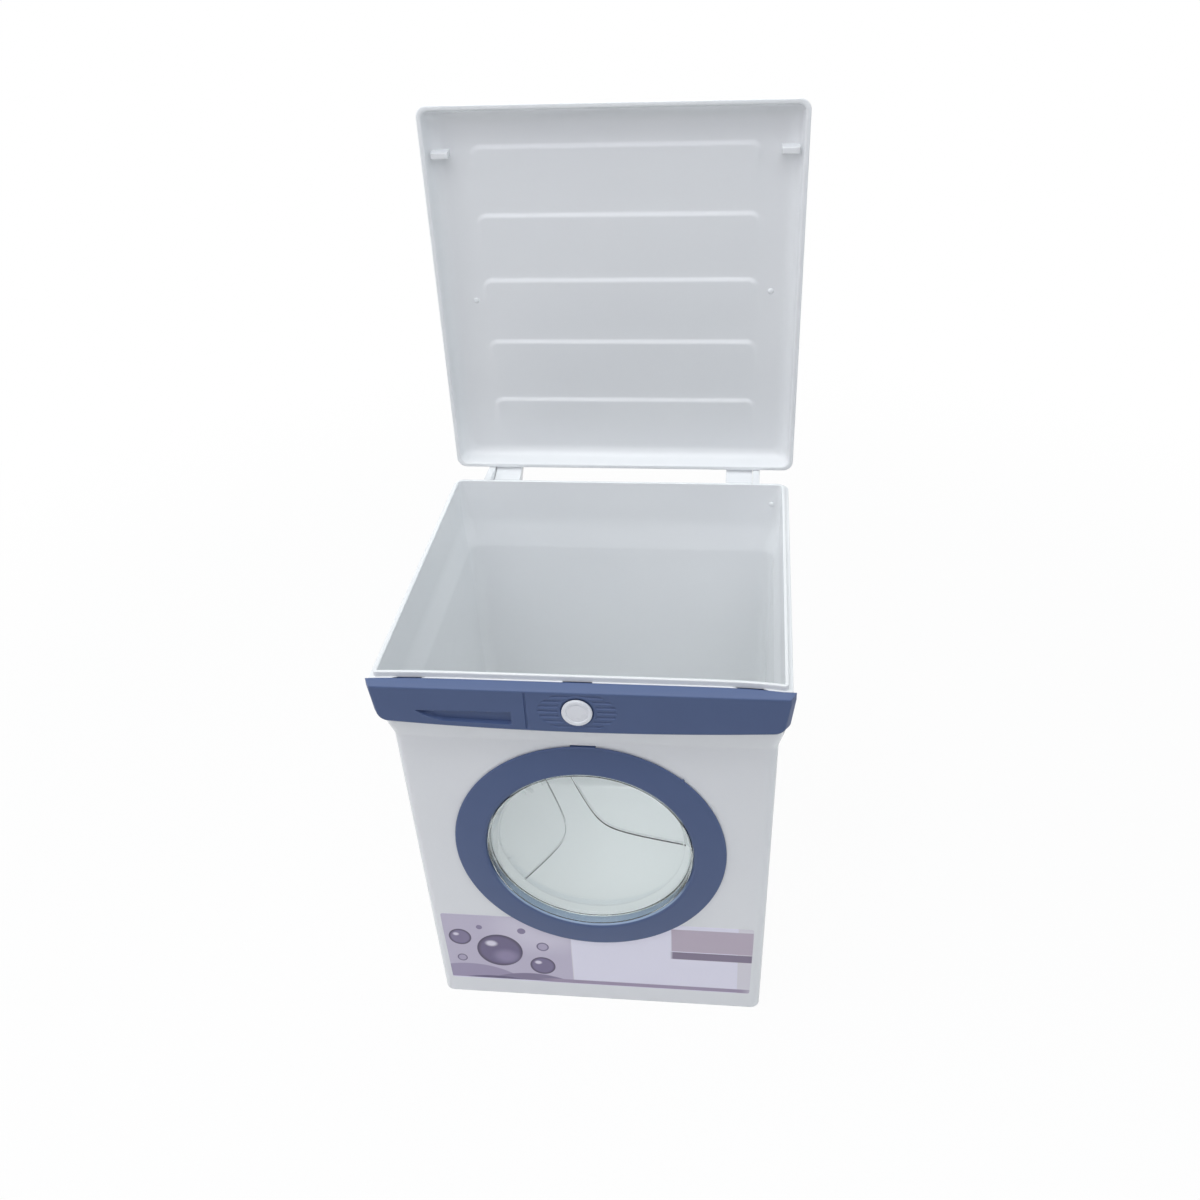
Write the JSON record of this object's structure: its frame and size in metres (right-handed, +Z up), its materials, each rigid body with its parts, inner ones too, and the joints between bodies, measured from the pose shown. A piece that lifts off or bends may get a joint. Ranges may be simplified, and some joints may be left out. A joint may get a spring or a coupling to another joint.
{
  "type": "laundry detergent storage box",
  "caption": "Washing-machine-shaped plastic box for laundry powder, with a hinged lid, a control panel with a knob, and a clear porthole window.",
  "frame": {"origin": "centre of the underside of the tub's base", "axes": "+Z up, -Y towards the front with the window and the control panel, +X to the right as seen from the front"},
  "size_m": [0.2108, 0.2465, 0.4522],
  "materials": {
    "white_plastic": "glossy injection-moulded polypropylene, white",
    "blue_plastic": "satin injection-moulded polypropylene, slate blue",
    "knob_plastic": "glossy polypropylene, white",
    "clear_plastic": "clear polystyrene, polished",
    "printed_film": "printed film with plain fields of lilac, mauve and white"
  },
  "bodies": {
    "tub": {"tub": "white_plastic", "control_panel": "blue_plastic", "door_ring": "blue_plastic", "window_bowl": "clear_plastic", "front_label": "printed_film"},
    "lid": {"lid": "white_plastic"},
    "knob": {"program_knob": "knob_plastic"}
  },
  "joints": [
    {"name": "lid_hinge", "type": "hinge", "parent": "tub", "child": "lid", "pos_m": [0, 0.1144, 0.2298], "axis": [1, 0, 0], "range_deg": [0, 90]},
    {"name": "knob_turn", "type": "hinge", "parent": "tub", "child": "knob", "pos_m": [0, -0.1072, 0.2268], "axis": [0, -1, 0], "continuous": true}
  ]
}
